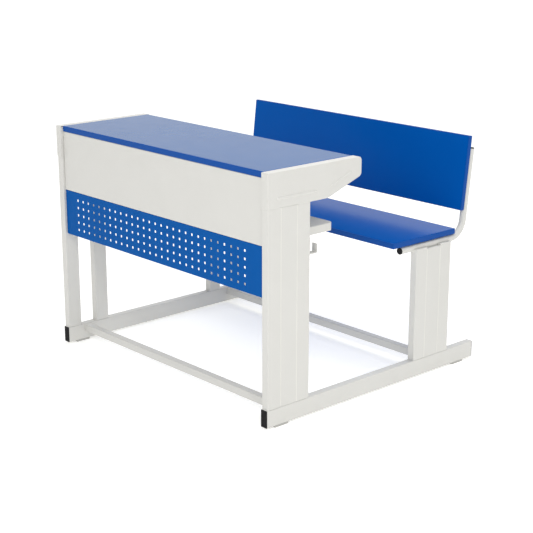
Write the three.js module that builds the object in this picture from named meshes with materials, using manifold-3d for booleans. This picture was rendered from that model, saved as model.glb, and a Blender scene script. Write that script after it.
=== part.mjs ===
// Two-seat classroom desk with an attached bench. Millimetres, +Z up.
// The origin lies on the floor under the middle of the set. +X runs along the desk,
// the front panel is on the -Y side and the backrest of the bench on the +Y side.
// Every name that ends in _Y is a distance from the front ends of the floor rails.
import * as THREE from 'three';
import { mergeGeometries, mergeVertices } from 'three/addons/utils/BufferGeometryUtils.js';
import Module from 'manifold-3d';

const wasm = await Module();
wasm.setup();

// ---------- driving dimensions ----------
const GAP = 0.3; // clearance kept between pieces that touch
const TOTAL_DEPTH = 925; // floor rail with its two end caps
const HALF_WIDTH = 522; // middle of the set to the outer face of a side frame
const FRAME = 26; // thickness of rails and legs across the set
const WALL = 1.5; // wall of the steel tubes
const SHEET = 1.2; // folded sheet steel
const TUBE_CORNER = 2.5; // outside corner radius of the rectangular tubes
const INNER_FACE = HALF_WIDTH - FRAME; // middle of the set to the inner face of a side frame
const FRAME_CENTRE = HALF_WIDTH - FRAME / 2;
const INSERT_HALF = INNER_FACE - 0.5; // half length of what fits between the side frames

const PAD = { height: 6, length: 53, corner: 3, firstY: 34, secondY: 826 };
const RAIL_HEIGHT = 54;
const RAIL_TOP = PAD.height + RAIL_HEIGHT;
const CAP = { face: 2, plug: 14, plugCorner: 0.8, overlap: 0.5 }; // visible plate, and plug in the rail

const LEG_TUBE = 50; // depth of one leg tube
const LEG_DEPTH = 163.5; // a leg is two tubes with a space between them
const DESK_LEG_Y = 4.5;
const BENCH_LEG_Y = 632;
const LEG_BACK_Y = DESK_LEG_Y + LEG_DEPTH;
const COVER = { depth: 20, setback: 0.4 }; // channel between the tubes of a right leg
const CROSSBAR = { side: 25, corner: 2, bottom: 33, frontY: 67, rearY: 714 };

const DESK_TOP = 760;
const LEG_TOP = DESK_TOP - SHEET - 2; // just under the bracket's top flange
const BOARD = 18; // thickness of the desktop and seat boards
const DESKTOP = { frontY: 11.5, rearY: 361, bottom: DESK_TOP - BOARD };
const BRACKET = { bottom: 656, frontY: 3, slopeStartY: 238, rearY: 373.5, slopeEnd: 704 };
const RIB = { radius: 4.5, height: 2.3 };
const RIB_ENDS = [[[41, 684], [186, 684]], [[250, 690], [327, 719]]]; // (Y, Z) of both ends of each rib
const PANEL = { frontY: 12, setback: 0.6, joint: 545.5, bottom: 393.5, flange: 14 };
const HOLES = { columns: 29, rows: 5, middleX: -6, pitchX: 30, pitchZ: 25, side: 7.5, topRow: 518.5 };
const SHELF = { top: 572, depth: 24.5, frontY: 26.5, rearY: 288, corner: 16, screwY: 42 };
const CLEAT = { leg: 25, thickness: 3, frontY: 27, rearY: 345, screwInset: 14 };
const CLEAT_SCREWS = [['front', 70], ['rear', 310]];
const HOOK = { width: 20, thickness: 3, bottom: 498.5, armTop: 526.5, plateTop: 549, reach: 29, edge: 1.2 };
const HOOK_SCREW_Z = HOOK.plateTop - 12;

const SEAT = { frontY: 536, rearY: 828, top: 462.5, halfLength: 510.5 };
const BACK = { frontY: 851.1, bottom: 517, height: 241.6, thickness: 16 };
const LEAN = THREE.MathUtils.degToRad(6.6); // backrest leans away from the desk
const BENCH_TUBE = { x: 500, radius: 11, frontY: 577, bend: 60, topHeight: 200 };
const BENCH_LEG_TOP = { tube: 428, cover: 422.5 }; // both rise beside the bench tube, notched to fit it
const TAB = { width: 30, thickness: 3, seatThickness: 4, weld: 1, reach: 55, screwInset: 14 };
const SEAT_TABS = [['front', 600], ['rear', 785]];
const BACK_TABS = [['lower', 45], ['upper', 165]]; // heights along the backrest
const PLUG = { head: 3, edge: 1.5, stem: 12 };

const SCREW = { head: 5, headHeight: 3, shank: 2.2, length: 15, tip: 2, seatGap: 0.1 };
const PILOT = { radius: SCREW.shank + GAP, depth: SCREW.length + 1 };
const SEAT_UNDER = SEAT.top - BOARD - GAP;
const SEAT_TUBE_Z = SEAT_UNDER - TAB.seatThickness + TAB.weld - BENCH_TUBE.radius;
const POST_OFFSET = BACK.thickness + GAP + BENCH_TUBE.radius; // post axis behind the board face

// ---------- materials ----------
function finish(color, roughness, metalness) {
  return new THREE.MeshStandardMaterial({ color, roughness, metalness });
}
const powderCoat = finish(0xdfded8, 0.5, 0.1);
const blueCoat = finish(0x1450a8, 0.45, 0.1);
const blueBoard = finish(0x1650ae, 0.35, 0.0);
const blackPlastic = finish(0x151515, 0.6, 0.0);
const greyPlastic = finish(0xb9b8b2, 0.6, 0.0);
const zincSteel = finish(0xa9adb0, 0.35, 0.8);

// ---------- solids and outlines ----------
function solidFrom(geometry) {
  const plain = geometry.clone();
  plain.deleteAttribute('normal');
  plain.deleteAttribute('uv');
  const merged = mergeVertices(plain, 1e-4);
  const corners = merged.index.array;
  const kept = [];
  for (let i = 0; i < corners.length; i += 3) {
    const [a, b, c] = [corners[i], corners[i + 1], corners[i + 2]];
    if (a !== b && b !== c && c !== a) kept.push(a, b, c);
  }
  const vertProperties = merged.attributes.position.array;
  return new wasm.Manifold(new wasm.Mesh({ numProp: 3, vertProperties, triVerts: new Uint32Array(kept) }));
}

function geometryFrom(solid) {
  const mesh = solid.getMesh();
  const geometry = new THREE.BufferGeometry();
  geometry.setAttribute('position', new THREE.BufferAttribute(mesh.vertProperties, 3));
  geometry.setIndex(new THREE.BufferAttribute(mesh.triVerts, 1));
  geometry.computeVertexNormals();
  return geometry;
}

function cut(geometry, tools) {
  return geometryFrom(tools.reduce((solid, tool) => solid.subtract(solidFrom(tool)), solidFrom(geometry)));
}

function join(geometry, additions) {
  return geometryFrom(additions.reduce((solid, more) => solid.add(solidFrom(more)), solidFrom(geometry)));
}

function block(xs, ys, zs) {
  const size = [xs, ys, zs].map(([a, b]) => Math.abs(b - a));
  const centre = [xs, ys, zs].map(([a, b]) => (a + b) / 2);
  return new THREE.BoxGeometry(...size).translate(...centre);
}

function rod(radius, from, to, segments = 10) {
  const start = new THREE.Vector3(...from);
  const end = new THREE.Vector3(...to);
  const axis = end.clone().sub(start);
  const upright = new THREE.Vector3(0, 1, 0);
  const turn = new THREE.Quaternion().setFromUnitVectors(upright, axis.clone().normalize());
  const middle = start.add(end).multiplyScalar(0.5);
  return new THREE.CylinderGeometry(radius, radius, axis.length(), segments)
    .applyQuaternion(turn).translate(middle.x, middle.y, middle.z);
}

// A closed outline whose corners [x, y, radius] are rounded by arcs.
function roundedOutline(corners) {
  const outline = new THREE.Shape();
  corners.forEach(([x, y, radius], i) => {
    const [px, py] = corners[(i + corners.length - 1) % corners.length];
    const [nx, ny] = corners[(i + 1) % corners.length];
    const toPrevious = new THREE.Vector2(px - x, py - y).normalize();
    const toNext = new THREE.Vector2(nx - x, ny - y).normalize();
    const half = Math.acos(THREE.MathUtils.clamp(toPrevious.dot(toNext), -1, 1)) / 2;
    const setback = radius / Math.tan(half);
    const centre = toPrevious.clone().add(toNext).normalize().multiplyScalar(radius / Math.sin(half));
    const start = toPrevious.multiplyScalar(setback).sub(centre);
    const end = toNext.multiplyScalar(setback).sub(centre);
    const clockwise = start.cross(end) < 0;
    outline.absarc(x + centre.x, y + centre.y, radius, start.angle(), end.angle(), clockwise);
  });
  outline.closePath();
  return outline;
}

function roundedRectangle(width, height, radius) {
  const [x, y] = [width / 2, height / 2];
  return roundedOutline([[-x, -y, radius], [x, -y, radius], [x, y, radius], [-x, y, radius]]);
}

function tubeSection(width, height) {
  const section = roundedRectangle(width, height, TUBE_CORNER);
  section.holes.push(roundedRectangle(width - 2 * WALL, height - 2 * WALL, TUBE_CORNER - WALL));
  return section;
}

// Moves every side of a counter-clockwise convex outline inwards; its radii shrink with it.
function insetCorners(corners, distance) {
  const count = corners.length;
  const normals = corners.map(([x, y], i) => {
    const [nx, ny] = corners[(i + 1) % count];
    return new THREE.Vector2(y - ny, nx - x).normalize();
  });
  return corners.map(([x, y, radius], i) => {
    const before = normals[(i + count - 1) % count];
    const after = normals[i];
    const shift = before.clone().add(after).multiplyScalar(distance / (1 + before.dot(after)));
    return [x + shift.x, y + shift.y, Math.max(radius - distance, 0.4)];
  });
}

function extrude(shape, depth, curveSegments = 2) {
  return new THREE.ExtrudeGeometry(shape, { depth, curveSegments, bevelEnabled: false });
}

// The outline is drawn in (Y, Z) and fills the space between two X positions.
function extrudeAlongX(shape, from, to, curveSegments = 2) {
  const turn = new THREE.Matrix4().makeBasis(
    new THREE.Vector3(0, 1, 0), new THREE.Vector3(0, 0, 1), new THREE.Vector3(1, 0, 0));
  const depth = Math.abs(to - from);
  return extrude(shape, depth, curveSegments).applyMatrix4(turn).translate(Math.min(from, to), 0, 0);
}

// The outline is drawn in (X, Z) and runs from Y = 0 to Y = length.
function extrudeAlongY(shape, length, curveSegments = 2) {
  return extrude(shape, length, curveSegments).rotateX(Math.PI / 2).translate(0, length, 0);
}

// ---------- scene graph ----------
const desk = new THREE.Group();
desk.position.y = -TOTAL_DEPTH / 2;
const model = new THREE.Group();
model.add(desk);

function place(name, geometry, material, position = [0, 0, 0], rotation = [0, 0, 0]) {
  const mesh = new THREE.Mesh(geometry, material);
  mesh.name = name;
  mesh.position.set(...position);
  mesh.rotation.set(...rotation);
  desk.add(mesh);
  return mesh;
}

const SIDES = [['left', -1], ['right', 1]];

// ---------- side frames ----------
function railCap() {
  const plate = extrudeAlongY(roundedRectangle(FRAME, RAIL_HEIGHT, TUBE_CORNER), CAP.face);
  const clearance = 2 * (WALL + GAP);
  const section = roundedRectangle(FRAME - clearance, RAIL_HEIGHT - clearance, CAP.plugCorner);
  const plug = extrudeAlongY(section, CAP.plug).translate(0, CAP.face - CAP.overlap, 0);
  return join(plate, [plug]);
}

function addFloorRails() {
  const length = TOTAL_DEPTH - 2 * (CAP.face + GAP);
  const centreZ = PAD.height + RAIL_HEIGHT / 2;
  const padOutline = roundedRectangle(FRAME - 1, PAD.length, PAD.corner);
  for (const [side, sign] of SIDES) {
    const x = sign * FRAME_CENTRE;
    const rail = extrudeAlongY(tubeSection(FRAME, RAIL_HEIGHT), length);
    place(`floor_rail_${side}`, rail, powderCoat, [x, CAP.face + GAP, centreZ]);
    place(`rail_cap_front_${side}`, railCap(), blackPlastic, [x, 0, centreZ]);
    place(`rail_cap_rear_${side}`, railCap(), blackPlastic, [x, TOTAL_DEPTH, centreZ], [0, 0, Math.PI]);
    for (const [end, y] of [['front', PAD.firstY], ['rear', PAD.secondY]]) {
      const pad = extrude(padOutline, PAD.height - GAP);
      place(`glide_pad_${end}_${side}`, pad, greyPlastic, [x, y + PAD.length / 2, 0]);
    }
  }
}

// The tubes of one leg. Holes are rods that are cut out of the tube.
function addLeg(name, side, sign, startY, topZ, holes) {
  const bottom = RAIL_TOP + GAP;
  const secondY = LEG_DEPTH - LEG_TUBE;
  for (const [end, offset] of [['front', 0], ['rear', secondY]]) {
    const centre = [sign * FRAME_CENTRE, startY + offset + LEG_TUBE / 2];
    const blank = extrude(tubeSection(FRAME, LEG_TUBE), topZ - bottom);
    const local = holes[end].map((hole) => hole.clone().translate(-centre[0], -centre[1], -bottom));
    const tube = local.length ? cut(blank, local) : blank;
    place(`${name}_tube_${end}_${side}`, tube, powderCoat, [...centre, bottom]);
  }
}

// A channel that closes the space between the two tubes of a leg, flush with their outer faces.
function addLegCover(name, sign, startY, topZ, notches) {
  const width = LEG_DEPTH - 2 * LEG_TUBE - 2 * GAP;
  const [inner, outer] = [HALF_WIDTH - COVER.depth, HALF_WIDTH - COVER.setback];
  const bottom = RAIL_TOP + GAP;
  const height = topZ - bottom;
  const body = block([inner, outer], [0, width], [0, height]);
  const hollow = block([inner - 1, outer - SHEET], [SHEET, width - SHEET], [-1, height + 1]);
  const origin = [0, startY + LEG_TUBE + GAP, bottom];
  const local = notches.map((notch) => notch.clone().translate(0, -origin[1], -origin[2]));
  place(name, cut(body, [hollow, ...local]), powderCoat, origin);
}

function shelfScrewPlaces() {
  const z = SHELF.top - SHELF.depth / 2;
  return [['front', [SHELF.screwY, z]], ['rear', [LEG_BACK_Y - LEG_TUBE / 2, z]]];
}

// The round way that a bench leg keeps for the bench tube lying in its top.
function benchTubeNotch(sign) {
  const x = sign * BENCH_TUBE.x;
  const [from, to] = [BENCH_LEG_Y - 5, BENCH_LEG_Y + LEG_DEPTH + 5];
  return rod(BENCH_TUBE.radius + GAP, [x, from, SEAT_TUBE_Z], [x, to, SEAT_TUBE_Z], 32);
}

function addLegs() {
  for (const [side, sign] of SIDES) {
    const holes = { front: [], rear: [] };
    for (const [end, [y, z]] of shelfScrewPlaces()) {
      holes[end].push(rod(PILOT.radius, [sign * (INNER_FACE - 2), y, z], [sign * (INNER_FACE + 4), y, z]));
    }
    const x = sign * FRAME_CENTRE;
    holes.rear.push(rod(PILOT.radius, [x, LEG_BACK_Y - 5, HOOK_SCREW_Z], [x, LEG_BACK_Y + 2, HOOK_SCREW_Z]));
    addLeg('desk_leg', side, sign, DESK_LEG_Y, LEG_TOP, holes);
    const notches = { front: [benchTubeNotch(sign)], rear: [benchTubeNotch(sign)] };
    addLeg('bench_leg', side, sign, BENCH_LEG_Y, BENCH_LEG_TOP.tube, notches);
  }
  addLegCover('desk_leg_cover_right', 1, DESK_LEG_Y, BRACKET.bottom - GAP, []);
  addLegCover('bench_leg_cover_right', 1, BENCH_LEG_Y, BENCH_LEG_TOP.cover, [benchTubeNotch(1)]);
}

// ---------- desk ----------
// A pressed bead: a flattened capsule that lies on the outer face between two points (Y, Z).
function bracketRib(sign, from, to) {
  const [dy, dz] = [to[0] - from[0], to[1] - from[1]];
  const bead = new THREE.CapsuleGeometry(RIB.radius, Math.hypot(dy, dz), 3, 12);
  bead.scale(RIB.height / RIB.radius, 1, 1).rotateX(Math.atan2(dz, dy));
  return bead.translate(sign * (HALF_WIDTH + GAP + SHEET), (from[0] + to[0]) / 2, (from[1] + to[1]) / 2);
}

// A folded pan over the top of a leg: outer plate, and a flange all round towards the desktop.
function sideBracket(sign) {
  const corners = [
    [BRACKET.frontY, BRACKET.bottom, 2],
    [BRACKET.slopeStartY, BRACKET.bottom, 40],
    [BRACKET.rearY, BRACKET.slopeEnd, 14],
    [BRACKET.rearY, DESK_TOP, 11],
    [BRACKET.frontY, DESK_TOP, 2],
  ];
  const plateInner = HALF_WIDTH + GAP;
  const body = extrudeAlongX(roundedOutline(corners), sign * INNER_FACE, sign * (plateInner + SHEET), 6);
  const inset = roundedOutline(insetCorners(corners, SHEET));
  const hollow = extrudeAlongX(inset, sign * (INNER_FACE - 1), sign * plateInner, 6);
  const legWay = block(
    [sign * (INNER_FACE - 1), sign * plateInner], [DESK_LEG_Y - GAP, LEG_BACK_Y + 1],
    [BRACKET.bottom - 1, BRACKET.bottom + 5]);
  const ribs = RIB_ENDS.map(([from, to]) => bracketRib(sign, from, to));
  return cut(join(body, ribs), [hollow, legWay]);
}

function addDesktop() {
  const half = INSERT_HALF;
  const screwX = half - CLEAT.screwInset;
  const board = block([-half, half], [DESKTOP.frontY, DESKTOP.rearY], [DESKTOP.bottom, DESK_TOP]);
  const pilots = [];
  const cleatTop = DESKTOP.bottom - GAP;
  const under = cleatTop - CLEAT.thickness;
  for (const [side, sign] of SIDES) {
    place(`side_bracket_${side}`, sideBracket(sign), powderCoat);
    const holes = [];
    for (const [end, y] of CLEAT_SCREWS) {
      const x = sign * screwX;
      const drill = rod(PILOT.radius, [x, y, under - 3], [x, y, under + PILOT.depth]);
      pilots.push(drill);
      holes.push(drill.clone());
      place(`desktop_screw_${end}_${side}`, screw(), zincSteel, [x, y, under - SCREW.seatGap]);
    }
    const corner = sign * half;
    const inner = sign * (half - CLEAT.leg);
    const flat = block([corner, inner], [CLEAT.frontY, CLEAT.rearY], [under, cleatTop]);
    const upright = block(
      [corner, corner - sign * CLEAT.thickness],
      [CLEAT.frontY, CLEAT.rearY],
      [cleatTop - CLEAT.leg, cleatTop]);
    place(`desktop_cleat_${side}`, cut(join(flat, [upright]), holes), powderCoat);
  }
  place('desktop_board', cut(board, pilots), blueBoard);
}

// A sheet in the XZ plane with a flange all round that points to +Y.
function foldedPanel(halfWidth, bottom, top) {
  const body = block([-halfWidth, halfWidth], [0, PANEL.flange], [bottom, top]);
  const hollow = block(
    [-halfWidth + SHEET, halfWidth - SHEET], [SHEET, PANEL.flange + 1], [bottom + SHEET, top - SHEET]);
  return cut(body, [hollow]);
}

function perforatedPanel(halfWidth, bottom, top) {
  const punches = [];
  for (let column = 0; column < HOLES.columns; column += 1) {
    for (let row = 0; row < HOLES.rows; row += 1) {
      const x = HOLES.middleX + (column - (HOLES.columns - 1) / 2) * HOLES.pitchX;
      const z = HOLES.topRow - row * HOLES.pitchZ;
      const punch = new THREE.BoxGeometry(HOLES.side, 4 * SHEET, HOLES.side);
      punches.push(punch.translate(x, 0, z));
    }
  }
  return cut(foldedPanel(halfWidth, bottom, top), [mergeGeometries(punches)]);
}

function addFrontPanels() {
  const half = INSERT_HALF;
  const upper = foldedPanel(half, PANEL.joint, DESKTOP.bottom - GAP);
  place('front_panel_upper', upper, powderCoat, [0, PANEL.frontY, 0]);
  const lower = perforatedPanel(half, PANEL.bottom, PANEL.joint - GAP);
  place('front_panel_perforated', lower, blueCoat, [0, PANEL.frontY + PANEL.setback, 0]);
}

// A shelf folded from one sheet, with its flange turned down and round rear corners.
function addShelf() {
  const half = INSERT_HALF;
  const corners = [
    [-half, SHELF.frontY, 1.5], [half, SHELF.frontY, 1.5],
    [half, SHELF.rearY, SHELF.corner], [-half, SHELF.rearY, SHELF.corner],
  ];
  const bottom = SHELF.top - SHELF.depth;
  const body = extrude(roundedOutline(corners), SHELF.depth, 6).translate(0, 0, bottom);
  const inset = roundedOutline(insetCorners(corners, SHEET));
  const hollow = extrude(inset, SHELF.depth, 6).translate(0, 0, bottom - SHEET);
  const holes = [];
  for (const [side, sign] of SIDES) {
    for (const [end, [y, z]] of shelfScrewPlaces()) {
      const face = sign * (half - SHEET);
      holes.push(rod(PILOT.radius, [face - sign * 3, y, z], [face + sign * 3, y, z]));
      const seat = [face - sign * SCREW.seatGap, y, z];
      place(`shelf_screw_${end}_${side}`, screw(), zincSteel, seat, [0, sign * Math.PI / 2, 0]);
    }
  }
  place('book_shelf', cut(body, [hollow, ...holes]), powderCoat);
}

// A bag hook bent from flat bar: back plate, foot and upturned arm.
function addBagHooks() {
  const t = HOOK.thickness;
  const start = LEG_BACK_Y + GAP;
  const end = start + HOOK.reach + t;
  const corners = [
    [start, HOOK.bottom, 4], [end, HOOK.bottom, 5],
    [end, HOOK.armTop, HOOK.edge], [end - t, HOOK.armTop, HOOK.edge],
    [end - t, HOOK.bottom + t, 2], [start + t, HOOK.bottom + t, 2],
    [start + t, HOOK.plateTop, HOOK.edge], [start, HOOK.plateTop, HOOK.edge],
  ];
  for (const [side, sign] of SIDES) {
    const x = sign * FRAME_CENTRE;
    const strip = extrudeAlongX(roundedOutline(corners), x - HOOK.width / 2, x + HOOK.width / 2);
    const hole = rod(PILOT.radius, [x, start - 2, HOOK_SCREW_Z], [x, start + t + 2, HOOK_SCREW_Z]);
    place(`bag_hook_${side}`, cut(strip, [hole]), powderCoat);
    const seat = [x, start + t + SCREW.seatGap, HOOK_SCREW_Z];
    place(`hook_screw_${side}`, screw(), zincSteel, seat, [Math.PI / 2, 0, 0]);
  }
}

function addCrossbars() {
  const half = INNER_FACE - GAP;
  const { side, corner } = CROSSBAR;
  const section = roundedRectangle(side, side, corner);
  section.holes.push(roundedRectangle(side - 2 * WALL, side - 2 * WALL, corner - WALL));
  const z = CROSSBAR.bottom + side / 2;
  for (const [end, y] of [['front', CROSSBAR.frontY], ['rear', CROSSBAR.rearY]]) {
    place(`crossbar_${end}`, extrudeAlongX(section, -half, half), powderCoat, [0, y + side / 2, z]);
  }
}

// ---------- bench ----------
// A screw along +Z. Its pan head lies below the origin and its shank above.
function screw() {
  const { head, headHeight, shank, length, tip } = SCREW;
  const profile = [
    [0, -headHeight], [head * 0.6, -headHeight], [head * 0.92, -headHeight * 0.6], [head, 0],
    [shank, 0], [shank, length - tip], [0, length],
  ];
  const points = profile.map(([x, y]) => new THREE.Vector2(x, y));
  return new THREE.LatheGeometry(points, 10).rotateX(Math.PI / 2);
}

// Centre line of a bench tube: along under the seat, round the bend and up behind the backrest.
// The overrun lengthens it at both ends, for the bore of the tube.
class BenchTubePath extends THREE.Curve {
  constructor(bendSteps, overrun) {
    super();
    const tangentLength = BENCH_TUBE.bend * Math.tan((Math.PI / 2 - LEAN) / 2);
    const post = backPoint(0, POST_OFFSET, 0);
    const cornerY = post.y - (post.z - SEAT_TUBE_Z) * Math.tan(LEAN);
    const centre = [cornerY - tangentLength, SEAT_TUBE_Z + BENCH_TUBE.bend];
    this.knots = [new THREE.Vector3(0, BENCH_TUBE.frontY - overrun, SEAT_TUBE_Z)];
    for (let i = 0; i <= bendSteps; i += 1) {
      const angle = (Math.PI / 2 - LEAN) * (i / bendSteps) - Math.PI / 2;
      const y = centre[0] + BENCH_TUBE.bend * Math.cos(angle);
      this.knots.push(new THREE.Vector3(0, y, centre[1] + BENCH_TUBE.bend * Math.sin(angle)));
    }
    this.knots.push(backPoint(0, POST_OFFSET, BENCH_TUBE.topHeight + overrun));
  }

  getPoint(t, target = new THREE.Vector3()) {
    const last = this.knots.length - 1;
    const index = Math.min(Math.floor(t * last), last - 1);
    return target.lerpVectors(this.knots[index], this.knots[index + 1], t * last - index);
  }

  getUtoTmapping(u) {
    return u;
  }
}

// A point given across the set, behind the front face of the backrest, and up along that face.
function backPoint(x, behind, up) {
  const frame = new THREE.Matrix4().makeRotationX(-LEAN).setPosition(0, BACK.frontY, BACK.bottom);
  return new THREE.Vector3(x, behind, up).applyMatrix4(frame);
}

const BEND_STEPS = 7;
const BORE_OVERRUN = 5;

function benchTube(sign) {
  const sweep = (radius, overrun) => {
    const extrudePath = new BenchTubePath(BEND_STEPS, overrun);
    const ring = new THREE.Shape().absarc(0, 0, radius, 0, 2 * Math.PI);
    return new THREE.ExtrudeGeometry(ring, { steps: BEND_STEPS + 2, curveSegments: 10, extrudePath });
  };
  const outside = sweep(BENCH_TUBE.radius, 0);
  const inside = sweep(BENCH_TUBE.radius - WALL, BORE_OVERRUN);
  const x = sign * BENCH_TUBE.x;
  const tabs = [];
  const holes = [];
  const tabX = [0, -sign * TAB.reach];
  const screwX = -sign * (TAB.reach - TAB.screwInset);
  for (const [, y] of SEAT_TABS) {
    const heights = [SEAT_UNDER - TAB.seatThickness, SEAT_UNDER];
    tabs.push(block(tabX, [y - TAB.width / 2, y + TAB.width / 2], heights));
    holes.push(rod(PILOT.radius, [screwX, y, SEAT_UNDER - 8], [screwX, y, SEAT_UNDER + 5]));
  }
  for (const [, up] of BACK_TABS) {
    const behind = BACK.thickness + GAP;
    const tab = block(tabX, [behind, behind + TAB.thickness], [up - TAB.width / 2, up + TAB.width / 2]);
    tabs.push(tab.rotateX(-LEAN).translate(0, BACK.frontY, BACK.bottom));
    const [from, to] = [backPoint(screwX, behind - 4, up), backPoint(screwX, behind + 8, up)];
    holes.push(rod(PILOT.radius, from.toArray(), to.toArray()));
  }
  return cut(join(outside, tabs), [inside, ...holes]).translate(x, 0, 0);
}

// A plug along +Z: a slightly domed head above the origin and a stem below it.
function tubePlug() {
  const r = BENCH_TUBE.radius;
  const stem = r - WALL - GAP;
  const profile = [
    [0, -PLUG.stem], [stem, -PLUG.stem], [stem, 0], [r, 0],
    [r, PLUG.head - PLUG.edge], [r - PLUG.edge, PLUG.head], [0, PLUG.head],
  ];
  return new THREE.LatheGeometry(profile.map(([x, y]) => new THREE.Vector2(x, y)), 16).rotateX(Math.PI / 2);
}

function addBench() {
  const across = [-SEAT.halfLength, SEAT.halfLength];
  const seat = block(across, [SEAT.frontY, SEAT.rearY], [SEAT.top - BOARD, SEAT.top]);
  const back = block(across, [0, BACK.thickness], [0, BACK.height]);
  const seatPilots = [];
  const backPilots = [];
  for (const [side, sign] of SIDES) {
    const x = sign * BENCH_TUBE.x;
    const screwX = x - sign * (TAB.reach - TAB.screwInset);
    place(`bench_tube_${side}`, benchTube(sign), powderCoat);
    const plugSeat = [x, BENCH_TUBE.frontY - GAP, SEAT_TUBE_Z];
    place(`tube_plug_front_${side}`, tubePlug(), blackPlastic, plugSeat, [Math.PI / 2, 0, 0]);
    const top = backPoint(x, POST_OFFSET, BENCH_TUBE.topHeight + GAP);
    place(`tube_plug_top_${side}`, tubePlug(), blackPlastic, top.toArray(), [-LEAN, 0, 0]);
    for (const [end, y] of SEAT_TABS) {
      const under = SEAT_UNDER - TAB.seatThickness;
      seatPilots.push(rod(PILOT.radius, [screwX, y, under], [screwX, y, under + PILOT.depth]));
      place(`seat_screw_${end}_${side}`, screw(), zincSteel, [screwX, y, under - SCREW.seatGap]);
    }
    for (const [end, up] of BACK_TABS) {
      const behind = BACK.thickness + GAP + TAB.thickness;
      const tip = behind - PILOT.depth;
      backPilots.push(rod(PILOT.radius, [screwX, behind, up], [screwX, tip, up]));
      const at = backPoint(screwX, behind + SCREW.seatGap, up);
      place(`back_screw_${end}_${side}`, screw(), zincSteel, at.toArray(), [Math.PI / 2 - LEAN, 0, 0]);
    }
  }
  place('seat_board', cut(seat, seatPilots), blueBoard);
  place('back_board', cut(back, backPilots), blueBoard, [0, BACK.frontY, BACK.bottom], [-LEAN, 0, 0]);
}

addFloorRails();
addLegs();
addCrossbars();
addDesktop();
addFrontPanels();
addShelf();
addBagHooks();
addBench();

export default model;
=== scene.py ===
"""The finished look of a two-seat classroom desk with an attached bench.

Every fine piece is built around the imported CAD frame, in metres. +X runs along the desk,
the front panels face -Y, the backrest of the bench is on the +Y side and +Z is up.
"""
import math

import bmesh
import bpy
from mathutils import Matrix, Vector


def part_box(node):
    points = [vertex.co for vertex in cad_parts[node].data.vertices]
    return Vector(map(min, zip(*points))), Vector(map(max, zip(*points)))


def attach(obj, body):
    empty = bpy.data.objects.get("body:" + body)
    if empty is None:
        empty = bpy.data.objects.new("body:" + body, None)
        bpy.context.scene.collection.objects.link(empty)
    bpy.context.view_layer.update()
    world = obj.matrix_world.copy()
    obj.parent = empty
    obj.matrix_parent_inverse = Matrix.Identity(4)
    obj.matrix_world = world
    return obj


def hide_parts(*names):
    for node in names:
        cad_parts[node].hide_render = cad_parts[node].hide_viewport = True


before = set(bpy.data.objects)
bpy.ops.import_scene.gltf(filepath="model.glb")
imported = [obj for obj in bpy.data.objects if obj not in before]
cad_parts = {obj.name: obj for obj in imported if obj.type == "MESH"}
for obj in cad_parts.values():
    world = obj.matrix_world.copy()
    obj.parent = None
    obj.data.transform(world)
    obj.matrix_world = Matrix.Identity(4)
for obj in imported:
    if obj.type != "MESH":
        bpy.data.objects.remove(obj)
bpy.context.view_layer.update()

# ---------- driving dimensions ----------
MM = 0.001
SIDES = (("left", -1), ("right", 1))

TUBE_CORNER = 2.5 * MM  # outside corner radius of the rectangular tubes
WALL = 1.5 * MM  # wall of every steel tube
SHEET = 1.2 * MM  # folded sheet steel
SHEET_BEND = 2.0 * MM  # outside radius of its folds
TUBE_LIP = 0.3 * MM  # deburred rim of a cut tube
SMALLEST_RADIUS = 0.1 * MM  # what an arc keeps when an inset would use it up
SHARP_ANGLE = math.radians(38)  # edges that bend more than this are shaded sharp

BOARD_EDGE = 2.0 * MM  # rounding of the edge band
BOARD_CORNER = 3.0 * MM  # rounding of a free board corner in plan
SEAM_OFFSET = 0.5 * MM  # from the rounding to the seam of the edge band
SEAM_WIDTH = 0.35 * MM
SEAM_DEPTH = 0.2 * MM

RIB_RADIUS = 4.5 * MM
RIB_HEIGHT = 2.3 * MM
RIB_PROFILE = ((0, 0), (0.07, 0.14), (0.16, 0.3), (0.3, 0.53), (0.5, 0.8), (0.75, 1))  # inwards, up
BRACKET_SLOPE_START = 235 * MM  # behind the front edge of the bracket
BRACKET_SLOPE_END = 56 * MM  # below its top edge
BRACKET_RIBS = (
    ((38 * MM, -76 * MM), (183 * MM, -76 * MM)),
    ((247 * MM, -70 * MM), (324 * MM, -41 * MM)),
)  # ends of each rib, behind the front edge and above the top edge

HOLE_MIDDLE_X = -6 * MM
HOLE_COLUMNS = 29
HOLE_ROWS = 5
HOLE_PITCH_X = 30 * MM
HOLE_PITCH_Z = 25 * MM
HOLE_SIDE = 7.5 * MM
HOLE_CORNER = 1.2 * MM
TOP_ROW_DROP = 26.7 * MM  # middle of the top row below the panel's upper edge

SHELF_CORNER = 16 * MM

LEAN = math.radians(6.6)
BACK_THICKNESS = 16 * MM
BACK_HEIGHT = 241.6 * MM
GAP = 0.3 * MM  # what the CAD model leaves between pieces that touch
BENCH_TUBE_RADIUS = 11 * MM
BENCH_TUBE_BEND = 60 * MM
POST_TOP = 200 * MM  # along the backrest
POST_BEHIND = BACK_THICKNESS + GAP + BENCH_TUBE_RADIUS
LID_DROP = 1.2 * MM  # a lid below the rim of its leg tube
SEAM_FILLER = 2.4 * MM  # radius of the filler bead in a seam
SEAM_RISE = 0.15 * MM  # how far it stands out of the seam
TAB_WIDTH = 30 * MM
TAB_THICKNESS = 3 * MM  # behind the backrest
SEAT_TAB_THICKNESS = 4 * MM
SEAT_TAB_LIFT = 3 * MM  # top of a seat tab above the tube
TAB_REACH = 55 * MM
BACK_TAB_HEIGHTS = (45 * MM, 165 * MM)
TAB_SCREW_INSET = 14 * MM
TAB_EDGE = 0.5 * MM  # rounding of a tab's edges

SCREW_HEAD = 5 * MM
SCREW_HEIGHT = 3 * MM
SCREW_SHANK = 2.2 * MM
SCREW_LENGTH = 15 * MM


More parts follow.
